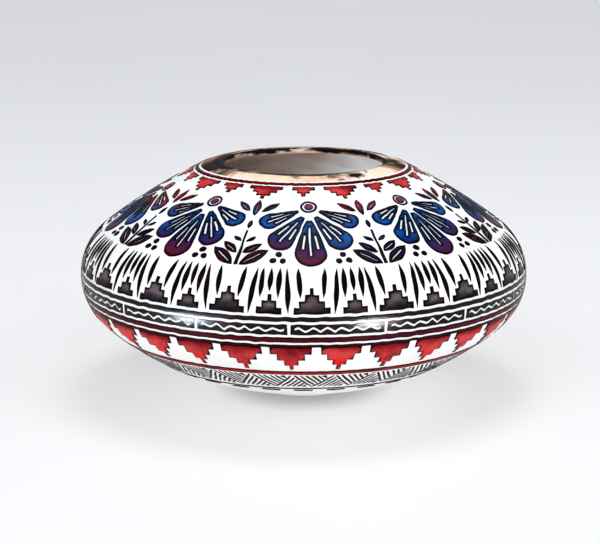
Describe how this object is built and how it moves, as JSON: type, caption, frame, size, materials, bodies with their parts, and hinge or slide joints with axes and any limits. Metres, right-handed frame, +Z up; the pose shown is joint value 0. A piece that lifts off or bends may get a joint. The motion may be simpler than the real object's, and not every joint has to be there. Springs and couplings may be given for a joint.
{
  "type": "etched ceramic pot",
  "caption": "Squat round ceramic pot with a narrow curled mouth, bands of stepped and hatched slip, a fan frieze, a smoked inside and a small foot ring",
  "frame": {"origin": "centre of the foot ring's standing face, on the pot's axis", "axes": "+Z up along the pot's axis, -Y towards the side that the picture shows"},
  "size_m": [0.2006, 0.2006, 0.1046],
  "materials": {
    "white_clay": "satin",
    "bare_clay": "burnished, smoke marked",
    "smoked_clay": "glossy, smoke marked",
    "red_slip": "glossy",
    "maroon_slip": "glossy",
    "black_slip": "glossy",
    "grey_slip": "glossy",
    "blue_slip": "glossy",
    "plum_slip": "glossy"
  },
  "bodies": {
    "root": {"foot_ring": "white_clay", "base_disc": "white_clay", "lower_bowl": "white_clay", "lower_belly_ring": "white_clay", "upper_belly_ring": "white_clay", "shoulder_wall": "white_clay", "mouth_lip": "bare_clay", "inner_lining": "smoked_clay", "mouth_line": "maroon_slip", "mouth_steps_large": "red_slip", "mouth_steps_small": "red_slip", "fan_bosses": "red_slip", "fan_blades": "blue_slip", "berries": "plum_slip", "sprig_stems": "plum_slip", "sprig_leaves": "plum_slip", "crown_leaves": "red_slip", "reed_strokes": "black_slip", "belly_steps_large": "grey_slip", "belly_steps_small": "grey_slip", "black_band": "black_slip", "zigzag_panels": "black_slip", "maroon_band": "maroon_slip", "step_border": "maroon_slip", "red_steps": "red_slip", "red_tips": "red_slip", "red_line": "red_slip", "hatch_band": "black_slip", "base_line": "black_slip", "base_dashes": "black_slip"}
  },
  "joints": []
}
